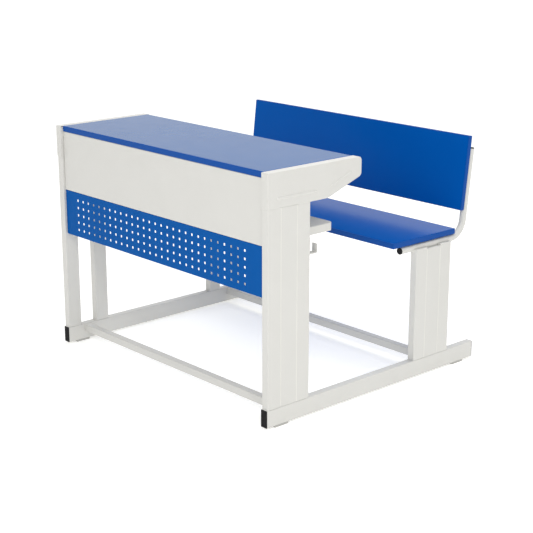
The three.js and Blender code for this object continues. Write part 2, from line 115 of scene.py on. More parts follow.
# ---------- materials ----------
def new_material(name):
    material = bpy.data.materials.new(name)
    material.use_nodes = True
    return material, material.node_tree, material.node_tree.nodes["Principled BSDF"]


def texture_place(tree):
    return tree.nodes.new("ShaderNodeTexCoord").outputs["Object"]


def noise(tree, scale, detail=2.0, stretch=(1, 1, 1)):
    """Noise with about `scale` features in a metre."""
    mapping = tree.nodes.new("ShaderNodeMapping")
    mapping.inputs["Scale"].default_value = stretch
    tree.links.new(texture_place(tree), mapping.inputs["Vector"])
    texture = tree.nodes.new("ShaderNodeTexNoise")
    texture.inputs["Scale"].default_value = scale
    texture.inputs["Detail"].default_value = detail
    tree.links.new(mapping.outputs["Vector"], texture.inputs["Vector"])
    return texture.outputs["Fac"]


def spread(tree, value, low, high, start=0.3, end=0.7):
    """Maps a noise value onto the range from low to high."""
    node = tree.nodes.new("ShaderNodeMapRange")
    node.inputs["From Min"].default_value = start
    node.inputs["From Max"].default_value = end
    node.inputs["To Min"].default_value = low
    node.inputs["To Max"].default_value = high
    tree.links.new(value, node.inputs["Value"])
    return node.outputs["Result"]


def blend_colours(tree, factor, first, second):
    node = tree.nodes.new("ShaderNodeMix")
    node.data_type = "RGBA"
    sockets = {socket.identifier: socket for socket in node.inputs}
    tree.links.new(factor, sockets["Factor_Float"])
    for identifier, colour in (("A_Color", first), ("B_Color", second)):
        if isinstance(colour, tuple):
            sockets[identifier].default_value = (*colour, 1)
        else:
            tree.links.new(colour, sockets[identifier])
    return {socket.identifier: socket for socket in node.outputs}["Result_Color"]


def add_bump(tree, shader, height, depth, before=None):
    node = tree.nodes.new("ShaderNodeBump")
    node.inputs["Distance"].default_value = depth
    node.inputs["Strength"].default_value = 1.0
    tree.links.new(height, node.inputs["Height"])
    if before is not None:
        tree.links.new(before, node.inputs["Normal"])
    tree.links.new(node.outputs["Normal"], shader.inputs["Normal"])
    return node.outputs["Normal"]


# The blue surfaces are tuned to look right in this studio. Real lacquer has an IOR of about 1.5.
BLUE_IOR = 1.22  # desktop and edge bands
BENCH_IOR = 1.14  # seat and backrest
BLUE_COAT_IOR = 1.12  # perforated panel
WHITE_IOR = 1.5
PEEL_DEPTH = 0.012 * MM
PEARL_DEPTH = 0.002 * MM
BAND_LINE_DEPTH = 0.006 * MM
ZINC_DEPTH = 0.01 * MM
PLASTIC_SPECULAR = 0.2


def powder_coat(name, colour, shade, roughness, ior):
    """Baked powder paint: a slow drift of tone, orange peel and a fine grain."""
    material, tree, shader = new_material(name)
    drift = spread(tree, noise(tree, 9, 3), 0, 1)
    grain = spread(tree, noise(tree, 1400, 2), 0.0, 0.5)
    toned = blend_colours(tree, drift, colour, shade)
    speckled = blend_colours(tree, grain, toned, shade)
    tree.links.new(speckled, shader.inputs["Base Color"])
    low, high = roughness
    tree.links.new(spread(tree, noise(tree, 60, 3), low, high), shader.inputs["Roughness"])
    peel = add_bump(tree, shader, noise(tree, 420, 1), PEEL_DEPTH)
    add_bump(tree, shader, noise(tree, 2200, 2), PEEL_DEPTH / 4, before=peel)
    shader.inputs["IOR"].default_value = ior
    return material


def laminate(name, colour, shade, roughness, ior):
    """Melamine surface of a board: even colour, a fine pearl texture and soft smudges."""
    material, tree, shader = new_material(name)
    cloud = spread(tree, noise(tree, 5, 4), 0, 1)
    fleck = spread(tree, noise(tree, 900, 3), 0, 0.35)
    toned = blend_colours(tree, cloud, colour, shade)
    tree.links.new(blend_colours(tree, fleck, toned, shade), shader.inputs["Base Color"])
    low, high = roughness
    tree.links.new(spread(tree, noise(tree, 22, 5), low, high), shader.inputs["Roughness"])
    add_bump(tree, shader, noise(tree, 700, 3), PEARL_DEPTH)
    shader.inputs["IOR"].default_value = ior
    return material


def edge_band(name, colour, shade):
    """Plastic band round a board, with faint lines along its length from extrusion."""
    material, tree, shader = new_material(name)
    lines = noise(tree, 1500, 2, stretch=(0.01, 0.01, 1))
    tree.links.new(
        blend_colours(tree, spread(tree, lines, 0, 1), colour, shade), shader.inputs["Base Color"])
    tree.links.new(spread(tree, noise(tree, 40, 3), 0.3, 0.42), shader.inputs["Roughness"])
    add_bump(tree, shader, lines, BAND_LINE_DEPTH)
    shader.inputs["IOR"].default_value = BLUE_IOR
    return material


def moulded_plastic(name, colour, shade, roughness, grain_depth):
    material, tree, shader = new_material(name)
    cloud = spread(tree, noise(tree, 80, 3), 0, 1)
    tree.links.new(blend_colours(tree, cloud, colour, shade), shader.inputs["Base Color"])
    low, high = roughness
    tree.links.new(spread(tree, noise(tree, 300, 3), low, high), shader.inputs["Roughness"])
    add_bump(tree, shader, noise(tree, 1600, 3), grain_depth)
    shader.inputs["Specular IOR Level"].default_value = PLASTIC_SPECULAR
    return material


def zinc_plate(name):
    material, tree, shader = new_material(name)
    shader.inputs["Metallic"].default_value = 1.0
    cloud = spread(tree, noise(tree, 350, 4), 0, 1)
    tree.links.new(
        blend_colours(tree, cloud, (0.52, 0.53, 0.55), (0.40, 0.41, 0.42)), shader.inputs["Base Color"])
    tree.links.new(spread(tree, noise(tree, 900, 3), 0.22, 0.4), shader.inputs["Roughness"])
    add_bump(tree, shader, noise(tree, 2500, 2), ZINC_DEPTH)
    return material


WHITE = powder_coat(
    "white_powder_coat", (0.638, 0.631, 0.603), (0.621, 0.614, 0.585), (0.38, 0.48), WHITE_IOR)
# A lighter white than the powder coat, for the seam fillers: a painted highlight along each seam.
SEAM_HIGHLIGHT_WHITE = powder_coat("white_seam_painted_highlight", (0.72, 0.71, 0.67), (0.70, 0.69, 0.65), (0.45, 0.55), WHITE_IOR)
BLUE = powder_coat("blue_powder_coat", (0.0, 0.090, 0.355), (0.0, 0.083, 0.330), (0.36, 0.44), BLUE_COAT_IOR)
TOP = laminate("blue_desktop_laminate", (0.0, 0.084, 0.280), (0.0, 0.078, 0.268), (0.18, 0.22), BLUE_IOR)
# A brighter copy of the desktop's blue laminate for the seat and backrest: painted light, which makes these
# boards look more brightly lit than the desktop.
BENCH_LAMINATE_PAINTED_LIGHT = laminate("blue_bench_laminate_painted_light", (0.0, 0.087, 0.388), (0.0, 0.082, 0.368), (0.18, 0.22), BENCH_IOR)
BAND = edge_band("blue_edge_band", (0.0, 0.068, 0.325), (0.0, 0.063, 0.308))
BLACK = moulded_plastic(
    "black_plastic", (0.005, 0.005, 0.006), (0.009, 0.009, 0.010), (0.5, 0.65), 0.05 * MM)
GREY = moulded_plastic("grey_nylon", (0.48, 0.475, 0.45), (0.42, 0.415, 0.39), (0.45, 0.6), 0.04 * MM)
ZINC = zinc_plate("zinc_plate")


# ---------- mesh tools ----------
def add_rings(bm, rings, closed=False, caps=False):
    """Joins rings with the same number of points by quads, and returns their vertices."""
    layers = [[bm.verts.new(point) for point in ring] for ring in rings]
    pairs = list(zip(layers, layers[1:]))
    if closed:
        pairs.append((layers[-1], layers[0]))
    for lower, upper in pairs:
        for here in range(len(lower)):
            there = (here + 1) % len(lower)
            bm.faces.new((lower[here], lower[there], upper[there], upper[here]))
    if caps:
        bm.faces.new(reversed(layers[0]))
        bm.faces.new(layers[-1])
    return layers


def ring_edges(bm, layer):
    pairs = zip(layer, layer[1:] + layer[:1])
    return [bm.edges.get(pair) or bm.edges.new(pair) for pair in pairs]


def fill_face(bm, boundary, holes):
    """Fills a flat face that has holes in it with triangles."""
    edges = [edge for layer in (boundary, *holes) for edge in ring_edges(bm, layer)]
    bmesh.ops.triangle_fill(bm, use_beauty=True, use_dissolve=False, edges=edges)


def make_piece(name, bm, materials, nodes=()):
    """Turns the mesh into a smooth-shaded piece that rides on the frame and stands for CAD nodes."""
    bmesh.ops.recalc_face_normals(bm, faces=bm.faces)
    mesh = bpy.data.meshes.new(name)
    bm.to_mesh(mesh)
    bm.free()
    for material in materials:
        mesh.materials.append(material)
    mesh.shade_smooth()
    mesh.set_sharp_from_angle(angle=SHARP_ANGLE)
    piece = bpy.data.objects.new(name, mesh)
    bpy.context.scene.collection.objects.link(piece)
    shading = piece.modifiers.new("even_shading", "WEIGHTED_NORMAL")
    shading.keep_sharp = True
    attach(piece, "root")
    if nodes:
        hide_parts(*nodes)
    return piece


def flat(u, v, height):
    return (u, v, height)


def along_x(u, v, height):
    return (height, u, v)


def along_y(u, v, height):
    return (u, height, v)


def leaning(u, v, height):
    """u along the backrest, v up its front face and height behind that face."""
    return BACK_CORNER + Vector((u, 0, 0)) + UP_BACK * v + BEHIND_BACK * height


def rounded_outline(corners, inset=0.0, arc_steps=6):
    """A counter-clockwise outline of corners (u, v, radius), moved inwards by inset."""
    points = []
    for index, (u, v, radius) in enumerate(corners):
        corner = Vector((u, v))
        before = (Vector(corners[index - 1][:2]) - corner).normalized()
        after = (Vector(corners[(index + 1) % len(corners)][:2]) - corner).normalized()
        turn = 1 if before.y * after.x - before.x * after.y > 0 else -1
        half = before.angle(after) / 2
        towards = (before + after).normalized() / math.sin(half)
        arc_radius = max(radius - turn * inset, SMALLEST_RADIUS)
        centre = corner + towards * (turn * inset + arc_radius)
        start = before / math.tan(half) - towards
        for step in range(arc_steps + 1):
            angle = turn * (math.pi - 2 * half) * step / arc_steps
            cosine, sine = math.cos(angle), math.sin(angle)
            spoke = Vector((start.x * cosine - start.y * sine, start.x * sine + start.y * cosine))
            points.append(centre + spoke * arc_radius)
    return points


def rectangle(low_u, high_u, low_v, high_v, radius):
    places = ((low_u, low_v), (high_u, low_v), (high_u, high_v), (low_u, high_v))
    return [(u, v, radius) for u, v in places]


def divided(points, steps):
    """Puts extra points on every straight side that runs mostly along u."""
    result = []
    for here, there in zip(points, points[1:] + points[:1]):
        side = there - here
        long_side = abs(side.x) > max(abs(side.y), 3 * MM)
        count = steps if long_side else 1
        result += [here.lerp(there, step / count) for step in range(count)]
    return result


def place_rings(corners, profile, axes, arc_steps=6, side_steps=1):
    """One ring for each (inset, height) of the profile."""
    return [
        [axes(u, v, height) for u, v in divided(rounded_outline(corners, inset, arc_steps), side_steps)]
        for inset, height in profile
    ]


def quarter(steps):
    return [math.pi / 2 * step / steps for step in range(steps + 1)]


def rounded_profile(low, high, edge, steps=4):
    """(inset, height) round both edges of a slab."""
    first = [(edge * (1 - math.sin(a)), low + edge * (1 - math.cos(a))) for a in quarter(steps)]
    return first + [(inset, low + high - height) for inset, height in reversed(first)]


def add_slab(bm, corners, low, high, edge, axes, arc_steps=6, edge_steps=4):
    rings = place_rings(corners, rounded_profile(low, high, edge, edge_steps), axes, arc_steps)
    return add_rings(bm, rings, caps=True)


def add_hollow(bm, corners, low, high, axes, arc_steps=6, side_steps=1):
    """A tube with the outline as its outside, and deburred rims."""
    profile = [
        (0, low + TUBE_LIP), (0, high - TUBE_LIP),
        (TUBE_LIP, high), (WALL - TUBE_LIP, high),
        (WALL, high - TUBE_LIP), (WALL, low + TUBE_LIP),
        (WALL - TUBE_LIP, low), (TUBE_LIP, low),
    ]
    return add_rings(bm, place_rings(corners, profile, axes, arc_steps, side_steps), closed=True)


def add_pan(bm, corners, face, rim, axes, arc_steps=6, bend_steps=5):
    """A folded pan of sheet steel: its face at one height and its flange up to the rim.
    Returns the boundary layers of the outer and of the inner face, which are still open."""
    way = 1 if rim > face else -1
    inner_bend = SHEET_BEND - SHEET
    outside = [
        (SHEET_BEND * (1 - math.cos(a)), face + way * SHEET_BEND * (1 - math.sin(a)))
        for a in reversed(quarter(bend_steps))
    ]
    inside = [
        (SHEET_BEND - inner_bend * math.cos(a), face + way * (SHEET_BEND - inner_bend * math.sin(a)))
        for a in quarter(bend_steps)
    ]
    lip = SHEET / 4
    edge = [(0, rim - way * lip), (lip, rim), (SHEET - lip, rim), (SHEET, rim - way * lip)]
    layers = add_rings(bm, place_rings(corners, outside + edge + inside, axes, arc_steps))
    return layers[0], layers[-1]


def stadium(start, end, radius, steps=10):
    """The outline round a straight line between two (u, v) points."""
    first, last = Vector(start), Vector(end)
    heading = math.atan2(last.y - first.y, last.x - first.x)
    points = []
    for centre, turn in ((last, heading - math.pi / 2), (first, heading + math.pi / 2)):
        for step in range(steps + 1):
            angle = turn + math.pi * step / steps
            points.append(centre + Vector((math.cos(angle), math.sin(angle))) * radius)
    return points


def add_rib(bm, start, end, radius, base, crest, axes):
    """A pressed bead. Returns its base ring, which is a hole in the face round it."""
    rings = []
    for share, rise in RIB_PROFILE:
        height = base + (crest - base) * rise
        rings.append([axes(u, v, height) for u, v in stadium(start, end, radius * (1 - share))])
    layers = add_rings(bm, rings)
    bm.faces.new(layers[-1])
    return layers[0]


def revolve(bm, profile, origin, axis, segments=32):
    """Turns a (radius, height) profile round an axis; its ends are closed by flat faces."""
    axis = Vector(axis).normalized()
    side = axis.orthogonal().normalized()
    other = axis.cross(side)
    rings = []
    for radius, height in profile:
        ring = []
        for step in range(segments):
            angle = 2 * math.pi * step / segments
            spoke = side * math.cos(angle) + other * math.sin(angle)
            ring.append(Vector(origin) + axis * height + spoke * radius)
        rings.append(ring)
    return add_rings(bm, rings, caps=True)


def node_outline(node, first, second, radius):
    """The outline of a CAD node's box across two of its axes."""
    low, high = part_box(node)
    return rectangle(low[first], high[first], low[second], high[second], radius)


def middle(node):
    low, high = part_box(node)
    return (low + high) / 2


# ---------- side frames ----------
def add_floor_rails():
    for side, _ in SIDES:
        node = f"floor_rail_{side}"
        low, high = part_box(node)
        bm = bmesh.new()
        add_hollow(bm, node_outline(node, 0, 2, TUBE_CORNER), low.y, high.y, along_y)
        make_piece(f"{node}_finished", bm, [WHITE], [node])


def add_rail_caps():
    """A black end cap: a rounded plate with upright ridges, and a plug in the rail."""
    plate = 1.5 * MM
    visible = 2.0 * MM
    ridge_pitch = 4.4 * MM
    ridge_half = 1.2 * MM
    ridge_margin = 3 * MM
    for side, _ in SIDES:
        for end, outwards in (("front", -1), ("rear", 1)):
            node = f"rail_cap_{end}_{side}"
            low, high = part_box(node)
            outer = low.y if outwards < 0 else high.y
            seat = outer - outwards * visible
            face = seat + outwards * plate
            corners = rectangle(low.x, high.x, low.z, high.z, TUBE_CORNER)
            bm = bmesh.new()
            add_slab(bm, corners, min(seat, face), max(seat, face), 0.6 * MM, along_y)
            for count in range(-2, 3):
                x = middle(node).x + count * ridge_pitch
                ends = (low.z + ridge_margin, high.z - ridge_margin)
                ridge = rectangle(x - ridge_half, x + ridge_half, *ends, 1.1 * MM)
                inner = face - outwards * 0.3 * MM
                add_slab(bm, ridge, min(inner, outer), max(inner, outer), 0.4 * MM, along_y)
            inset = WALL + GAP
            plug = rectangle(low.x + inset, high.x - inset, low.z + inset, high.z - inset, 0.8 * MM)
            tip = low.y if outwards > 0 else high.y
            start = seat + outwards * 0.3 * MM
            add_slab(bm, plug, min(start, tip), max(start, tip), 0.5 * MM, along_y)
            make_piece(f"{node}_finished", bm, [BLACK], [node])


def add_glide_pads():
    for side, _ in SIDES:
        for end in ("front", "rear"):
            node = f"glide_pad_{end}_{side}"
            low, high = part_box(node)
            bm = bmesh.new()
            add_slab(bm, node_outline(node, 0, 1, 3 * MM), low.z, high.z, 1.2 * MM, flat)
            make_piece(f"{node}_finished", bm, [GREY], [node])


def bench_tube_axis(side):
    """Where the level part of a bench tube runs: its X and Z."""
    return middle(f"tube_plug_front_{side}").x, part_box(f"bench_tube_{side}")[0].z + BENCH_TUBE_RADIUS


def notch_top(bm, top, side):
    """Lowers the rim of a leg tube, so that the round bench tube lies in its top."""
    tube_x, tube_z = bench_tube_axis(side)
    reach = BENCH_TUBE_RADIUS + GAP
    for vert in bm.verts:
        depth = top - vert.co.z
        across = abs(vert.co.x - tube_x)
        if depth < 2 * TUBE_LIP and across < reach:
            vert.co.z = min(top, tube_z - math.sqrt(reach ** 2 - across ** 2)) - depth


def add_leg_tubes():
    for side, _ in SIDES:
        for leg in ("desk_leg", "bench_leg"):
            for end in ("front", "rear"):
                node = f"{leg}_tube_{end}_{side}"
                low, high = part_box(node)
                bm = bmesh.new()
                outline = node_outline(node, 0, 1, TUBE_CORNER)
                add_hollow(bm, outline, low.z, high.z, flat, side_steps=30)
                if leg == "bench_leg":
                    notch_top(bm, high.z, side)
                make_piece(f"{node}_finished", bm, [WHITE], [node])


def add_leg_covers():
    """The channel that closes the space between two leg tubes. It is open towards the inside."""
    for node in ("desk_leg_cover_right", "bench_leg_cover_right"):
        low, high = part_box(node)
        outer, inner = SHEET_BEND, SHEET_BEND - SHEET
        edge = SHEET / 3
        corners = [
            (low.x, low.y, edge), (high.x, low.y, outer), (high.x, high.y, outer), (low.x, high.y, edge),
            (low.x, high.y - SHEET, edge), (high.x - SHEET, high.y - SHEET, inner),
            (high.x - SHEET, low.y + SHEET, inner), (low.x, low.y + SHEET, edge),
        ]
        bm = bmesh.new()
        add_slab(bm, corners, low.z, high.z, 0.25 * MM, flat, edge_steps=2)
        if node.startswith("bench"):
            lowest = bench_tube_axis("right")[1] - BENCH_TUBE_RADIUS - GAP
            slope = (high.z - lowest) / (high.x - low.x)
            for vert in bm.verts:
                if high.z - vert.co.z < TUBE_LIP:
                    vert.co.z -= slope * (high.x - vert.co.x)
        make_piece(f"{node}_finished", bm, [WHITE], [node])


def add_bench_leg_lids():
    """Thin plates that close the tops of the bench legs beside the bench tube."""
    for side, sign in SIDES:
        tube_x, tube_z = bench_tube_axis(side)
        tops = []
        for end in ("front", "rear"):
            low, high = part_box(f"bench_leg_tube_{end}_{side}")
            tops.append((low.y + WALL, high.y - WALL, high.z - LID_DROP, low, high))
        if sign > 0:
            low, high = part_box("bench_leg_cover_right")
            tops.append((low.y + SHEET, high.y - SHEET, high.z - 0.3 * MM, low, high))
        bm = bmesh.new()
        for near_y, far_y, top, low, high in tops:
            inner = tube_x + sign * math.sqrt(BENCH_TUBE_RADIUS ** 2 - (tube_z - top) ** 2)
            outer = sign * (max(abs(low.x), abs(high.x)) - WALL)
            corners = rectangle(min(inner, outer), max(inner, outer), near_y, far_y, 0.3 * MM)
            add_slab(bm, corners, top - SHEET, top, 0.2 * MM, flat, edge_steps=2)
        make_piece(f"bench_leg_lids_{side}", bm, [WHITE])


def add_seam_fillers():
    """Filler beads in the upright seams between the leg tubes and the cover of a right leg. They are a
    lighter white than the powder coat: a painted highlight along each seam.
    """
    bm = bmesh.new()
    for leg in ("desk_leg", "bench_leg"):
        low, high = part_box(f"{leg}_cover_right")
        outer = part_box(f"{leg}_tube_front_right")[1].x
        x = outer - SEAM_FILLER + SEAM_RISE
        for y in (low.y, high.y):
            corners = rectangle(
                x - SEAM_FILLER, x + SEAM_FILLER, y - SEAM_FILLER, y + SEAM_FILLER, SEAM_FILLER - 0.01 * MM)
            add_slab(bm, corners, low.z + 0.5 * MM, high.z - 0.5 * MM, 0.5 * MM, flat)
    make_piece("seam_fillers_painted_highlight_right", bm, [SEAM_HIGHLIGHT_WHITE])


def add_crossbars():
    for end in ("front", "rear"):
        node = f"crossbar_{end}"
        low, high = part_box(node)
        bm = bmesh.new()
        add_hollow(bm, node_outline(node, 1, 2, 2 * MM), low.x, high.x, along_x)
        make_piece(f"{node}_finished", bm, [WHITE], [node])


# ---------- desk ----------
def add_side_brackets():
    """A folded pan over the top of each leg, with two beads pressed into its outer plate."""
    for side, sign in SIDES:
        node = f"side_bracket_{side}"
        low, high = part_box(node)
        plate = max(abs(low.x), abs(high.x)) - RIB_HEIGHT
        rim = min(abs(low.x), abs(high.x))
        corners = [
            (low.y, low.z, 2 * MM),
            (low.y + BRACKET_SLOPE_START, low.z, 40 * MM),
            (high.y, high.z - BRACKET_SLOPE_END, 14 * MM),
            (high.y, high.z, 11 * MM),
            (low.y, high.z, 2 * MM),
        ]

        def axes(u, v, height, sign=sign):
            return (sign * height, u, v)

        bm = bmesh.new()
        outer, inner = add_pan(bm, corners, plate, rim, axes, arc_steps=12)
        holes = {"outer": [], "inner": []}
        for start, end in BRACKET_RIBS:
            places = [(low.y + behind, high.z + above) for behind, above in (start, end)]
            back = plate - SHEET
            holes["outer"].append(add_rib(bm, *places, RIB_RADIUS, plate, plate + RIB_HEIGHT, axes))
            inner_radius = RIB_RADIUS - SHEET
            holes["inner"].append(add_rib(bm, *places, inner_radius, back, back + RIB_HEIGHT, axes))
        fill_face(bm, outer, holes["outer"])
        fill_face(bm, inner, holes["inner"])
        make_piece(f"{node}_finished", bm, [WHITE], [node])


def add_board(bm, corners, low, high, axes):
    """A board with a rounded edge band. Its seam is a fine groove in both broad faces."""
    shell = rounded_profile(low, high, BOARD_EDGE, 6)
    seam = [
        (BOARD_EDGE + SEAM_OFFSET, 0),
        (BOARD_EDGE + SEAM_OFFSET + SEAM_WIDTH / 2, SEAM_DEPTH),
        (BOARD_EDGE + SEAM_OFFSET + SEAM_WIDTH, 0),
    ]
    lower = [(inset, low + depth) for inset, depth in reversed(seam)]
    upper = [(inset, high - depth) for inset, depth in seam]
    rings = place_rings(corners, lower + shell + upper, axes)
    layers = add_rings(bm, rings)
    for layer in (layers[0], layers[-1]):
        face = bm.faces.new(layer)
        face.material_index = 1


def add_boards():
    for node, radius, face in (("desktop_board", 1.5 * MM, TOP), ("seat_board", BOARD_CORNER, BENCH_LAMINATE_PAINTED_LIGHT)):
        low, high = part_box(node)
        bm = bmesh.new()
        add_board(bm, node_outline(node, 0, 1, radius), low.z, high.z, flat)
        make_piece(f"{node}_finished", bm, [BAND, face], [node])
    node = "back_board"
    low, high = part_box(node)
    bm = bmesh.new()
    corners = rectangle(low.x, high.x, 0, BACK_HEIGHT, BOARD_CORNER)
    add_board(bm, corners, 0, BACK_THICKNESS, leaning)
    make_piece(f"{node}_finished", bm, [BAND, BENCH_LAMINATE_PAINTED_LIGHT], [node])


def add_cleats():
    """Angle bars that carry the desktop, with a root fillet as rolled steel has."""
    thickness = 3 * MM
    for side, sign in SIDES:
        node = f"desktop_cleat_{side}"
        low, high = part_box(node)
        outer = sign * max(abs(low.x), abs(high.x))
        inner = sign * min(abs(low.x), abs(high.x))
        web = outer - sign * thickness
        corners = [
            (outer, high.z, 0.6 * MM), (inner, high.z, 0.6 * MM),
            (inner, high.z - thickness, 1.5 * MM), (web, high.z - thickness, 3 * MM),
            (web, low.z, 1.5 * MM), (outer, low.z, 0.6 * MM),
        ]
        if sign < 0:
            corners.reverse()
        bm = bmesh.new()
        add_slab(bm, corners, low.y, high.y, 0.3 * MM, along_y, edge_steps=2)
        make_piece(f"{node}_finished", bm, [WHITE], [node])


def add_upper_panel():
    node = "front_panel_upper"
    low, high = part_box(node)
    bm = bmesh.new()
    outer, inner = add_pan(bm, node_outline(node, 0, 2, 1.5 * MM), low.y, high.y, along_y)
    bm.faces.new(outer)
    bm.faces.new(inner)
    make_piece(f"{node}_finished", bm, [WHITE], [node])


def add_perforated_panel():
    """A folded pan with rows of punched holes. A punched rim is rounded in front."""
    node = "front_panel_perforated"
    low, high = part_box(node)
    bm = bmesh.new()
    outer, inner = add_pan(bm, node_outline(node, 0, 2, 1.5 * MM), low.y, high.y, along_y)
    rim = 0.3 * MM
    half = HOLE_SIDE / 2
    wall = [(-rim, 0), (-rim / 3, rim / 3), (0, rim), (0, SHEET - rim / 2), (-rim / 2, SHEET)]
    front_rings, back_rings = [], []
    for column in range(HOLE_COLUMNS):
        for row in range(HOLE_ROWS):
            x = HOLE_MIDDLE_X + (column - (HOLE_COLUMNS - 1) / 2) * HOLE_PITCH_X
            z = high.z - TOP_ROW_DROP - row * HOLE_PITCH_Z
            corners = rectangle(x - half, x + half, z - half, z + half, HOLE_CORNER)
            profile = [(inset, low.y + depth) for inset, depth in wall]
            layers = add_rings(bm, place_rings(corners, profile, along_y, arc_steps=4))
            front_rings.append(layers[0])
            back_rings.append(layers[-1])
    fill_face(bm, outer, front_rings)
    fill_face(bm, inner, back_rings)
    make_piece(f"{node}_finished", bm, [BLUE], [node])


def add_shelf():
    node = "book_shelf"
    low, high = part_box(node)
    corners = [
        (low.x, low.y, 2 * MM), (high.x, low.y, 2 * MM),
        (high.x, high.y, SHELF_CORNER), (low.x, high.y, SHELF_CORNER),
    ]
    bm = bmesh.new()
    outer, inner = add_pan(bm, corners, high.z, low.z, flat, arc_steps=10)
    bm.faces.new(outer)
    bm.faces.new(inner)
    make_piece(f"{node}_finished", bm, [WHITE], [node])


def add_bag_hooks():
    """Flat bar bent twice: back plate, foot and upturned arm."""
    thickness = 3 * MM
    arm_height = 28 * MM
    for side, _ in SIDES:
        node = f"bag_hook_{side}"
        low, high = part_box(node)
        corners = [
            (low.y, low.z, 4.5 * MM), (high.y, low.z, 5 * MM),
            (high.y, low.z + arm_height, 1.3 * MM), (high.y - thickness, low.z + arm_height, 1.3 * MM),
            (high.y - thickness, low.z + thickness, 2 * MM), (low.y + thickness, low.z + thickness, 1.5 * MM),
            (low.y + thickness, high.z, 1.3 * MM), (low.y, high.z, 0.8 * MM),
        ]
        bm = bmesh.new()
        add_slab(bm, corners, low.x, high.x, 0.7 * MM, along_x)
        make_piece(f"{node}_finished", bm, [WHITE], [node])


# ---------- bench ----------
BACK_LOW, BACK_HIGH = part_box("back_board")
UP_BACK = Vector((0, math.sin(LEAN), math.cos(LEAN)))
BEHIND_BACK = Vector((0, math.cos(LEAN), -math.sin(LEAN)))
BACK_CORNER = Vector((0, BACK_LOW.y, BACK_HIGH.z - BACK_HEIGHT * math.cos(LEAN)))


def bench_tube_stations(x, front_y, tube_z, bend_steps=24):
    """(centre, upward normal) along the tube: under the seat, round the bend and up the back."""
    post = leaning(0, 0, POST_BEHIND)
    corner_y = post.y - (post.z - tube_z) * math.tan(LEAN)
    sweep = math.pi / 2 - LEAN
    bend_y = corner_y - BENCH_TUBE_BEND * math.tan(sweep / 2)
    bend_z = tube_z + BENCH_TUBE_BEND
    stations = [(Vector((x, front_y, tube_z)), Vector((0, 0, 1)))]
    for step in range(bend_steps + 1):
        angle = sweep * step / bend_steps
        normal = Vector((0, -math.sin(angle), math.cos(angle)))
        stations.append((Vector((x, bend_y, bend_z)) - normal * BENCH_TUBE_BEND, normal))
    stations.append((leaning(x, POST_TOP, POST_BEHIND), stations[-1][1]))
    return stations


def tube_rings(stations, radius, segments=36):
    rings = []
    for centre, normal in stations:
        ring = []
        for step in range(segments):
            angle = 2 * math.pi * step / segments
            spoke = Vector((math.cos(angle), 0, 0)) + normal * math.sin(angle)
            ring.append(centre + spoke * radius)
        rings.append(ring)
    return rings


def tab_outline(x, sign, middle_v, start):
    """A tab from the tube towards the middle of the set, with a rounded free end."""
    near = x - sign * start
    far = x - sign * TAB_REACH
    low_v, high_v = middle_v - TAB_WIDTH / 2, middle_v + TAB_WIDTH / 2
    corners = [(near, low_v, 0.5 * MM), (near, high_v, 0.5 * MM), (far, high_v, 6 * MM), (far, low_v, 6 * MM)]
    return corners if sign > 0 else corners[::-1]


def add_bench_tubes():
    for side, sign in SIDES:
        node = f"bench_tube_{side}"
        low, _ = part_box(node)
        x, tube_z = bench_tube_axis(side)
        stations = bench_tube_stations(x, low.y, tube_z)
        rings = tube_rings(stations, BENCH_TUBE_RADIUS)
        rings += reversed(tube_rings(stations, BENCH_TUBE_RADIUS - WALL))
        bm = bmesh.new()
        add_rings(bm, rings, closed=True)
        make_piece(f"{node}_finished", bm, [WHITE], [node])

        bm = bmesh.new()
        top = tube_z + BENCH_TUBE_RADIUS + SEAT_TAB_LIFT
        for end in ("front", "rear"):
            y = middle(f"seat_screw_{end}_{side}").y
            add_slab(bm, tab_outline(x, sign, y, 0), top - SEAT_TAB_THICKNESS, top, TAB_EDGE, flat)
        behind = BACK_THICKNESS + GAP
        start = BENCH_TUBE_RADIUS - WALL / 2
        for up in BACK_TAB_HEIGHTS:
            outline = tab_outline(x, sign, up, start)
            add_slab(bm, outline, behind, behind + TAB_THICKNESS, TAB_EDGE, leaning)
        make_piece(f"bench_tabs_{side}", bm, [WHITE], [node])


def add_tube_plugs():
    """Round plugs in both ends of a bench tube: a domed head with a rounded rim and a stem."""
    head = 3 * MM
    r = BENCH_TUBE_RADIUS
    rim = [(r - 1.4 * MM * (1 - math.cos(a)), head - 1.4 * MM * (1 - math.sin(a))) for a in quarter(5)]
    stem = r - WALL - GAP
    profile = [(stem - 1 * MM, -12 * MM), (stem, -11 * MM), (stem, 0), (r - 0.3 * MM, 0), (r, 0.3 * MM)]
    profile += rim
    profile += [(r * 0.7, head), (r * 0.66, head - 0.35 * MM), (r * 0.3, head - 0.2 * MM)]
    for side, _ in SIDES:
        x, tube_z = bench_tube_axis(side)
        front = Vector((x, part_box(f"bench_tube_{side}")[0].y - GAP, tube_z))
        top = leaning(x, POST_TOP + GAP, POST_BEHIND)
        for end, origin, axis in (("front", front, (0, -1, 0)), ("top", top, UP_BACK)):
            node = f"tube_plug_{end}_{side}"
            bm = bmesh.new()
            revolve(bm, profile, origin, axis, segments=40)
            make_piece(f"{node}_finished", bm, [BLACK], [node])


# ---------- fasteners and welds ----------
def recess_depth(x, y):
    """Depth of the cross recess in a screw head at a place on the head."""
    narrow, wide = sorted((abs(x), abs(y)))
    across = min(max((0.75 * MM - narrow) / (0.3 * MM), 0), 1)
    along = min(max((2.4 * MM - wide) / (0.8 * MM), 0), 1)
    return 1.3 * MM * across * along


